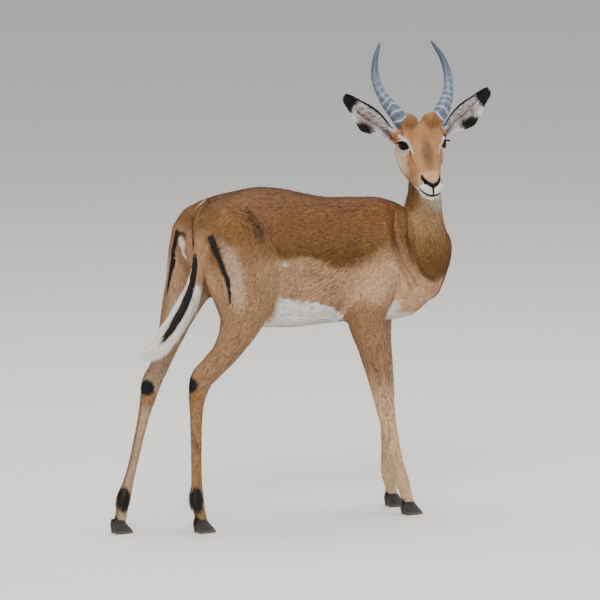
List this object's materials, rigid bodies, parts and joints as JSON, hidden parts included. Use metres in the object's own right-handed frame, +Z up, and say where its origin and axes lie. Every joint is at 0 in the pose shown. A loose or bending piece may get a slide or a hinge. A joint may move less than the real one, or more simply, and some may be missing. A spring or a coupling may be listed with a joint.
{
  "type": "impala antelope figure",
  "caption": "Life-size standing young male impala looking back over its right side, with short curved horns, cupped ears, slim legs and a hanging tail.",
  "frame": {"origin": "on the floor, below the middle of the model's bounding box", "axes": "+X towards the breast, +Y to the animal's left, +Z up"},
  "size_m": [1.0316, 0.3216, 1.23],
  "materials": {
    "coat": "short smooth reddish tan fur, paler on the flanks and white below",
    "horn": "blue-grey ringed horn, dull sheen",
    "hoof": "dark grey to black horn, dull sheen",
    "eye": "very dark brown, wet gloss"
  },
  "bodies": {
    "root": {"trunk": "coat", "neck": "coat", "head": "coat", "tail": "coat", "leg_fore_right_upper": "coat", "leg_fore_right_lower": "coat", "hoof_fore_right_outer": "hoof", "hoof_fore_right_inner": "hoof", "leg_fore_left_upper": "coat", "leg_fore_left_lower": "coat", "hoof_fore_left_outer": "hoof", "hoof_fore_left_inner": "hoof", "leg_hind_right_upper": "coat", "leg_hind_right_lower": "coat", "hoof_hind_right_outer": "hoof", "hoof_hind_right_inner": "hoof", "leg_hind_left_upper": "coat", "leg_hind_left_lower": "coat", "hoof_hind_left_outer": "hoof", "hoof_hind_left_inner": "hoof", "ear_left": "coat", "eye_left": "eye", "horn_left": "horn", "ear_right": "coat", "eye_right": "eye", "horn_right": "horn"}
  },
  "joints": []
}
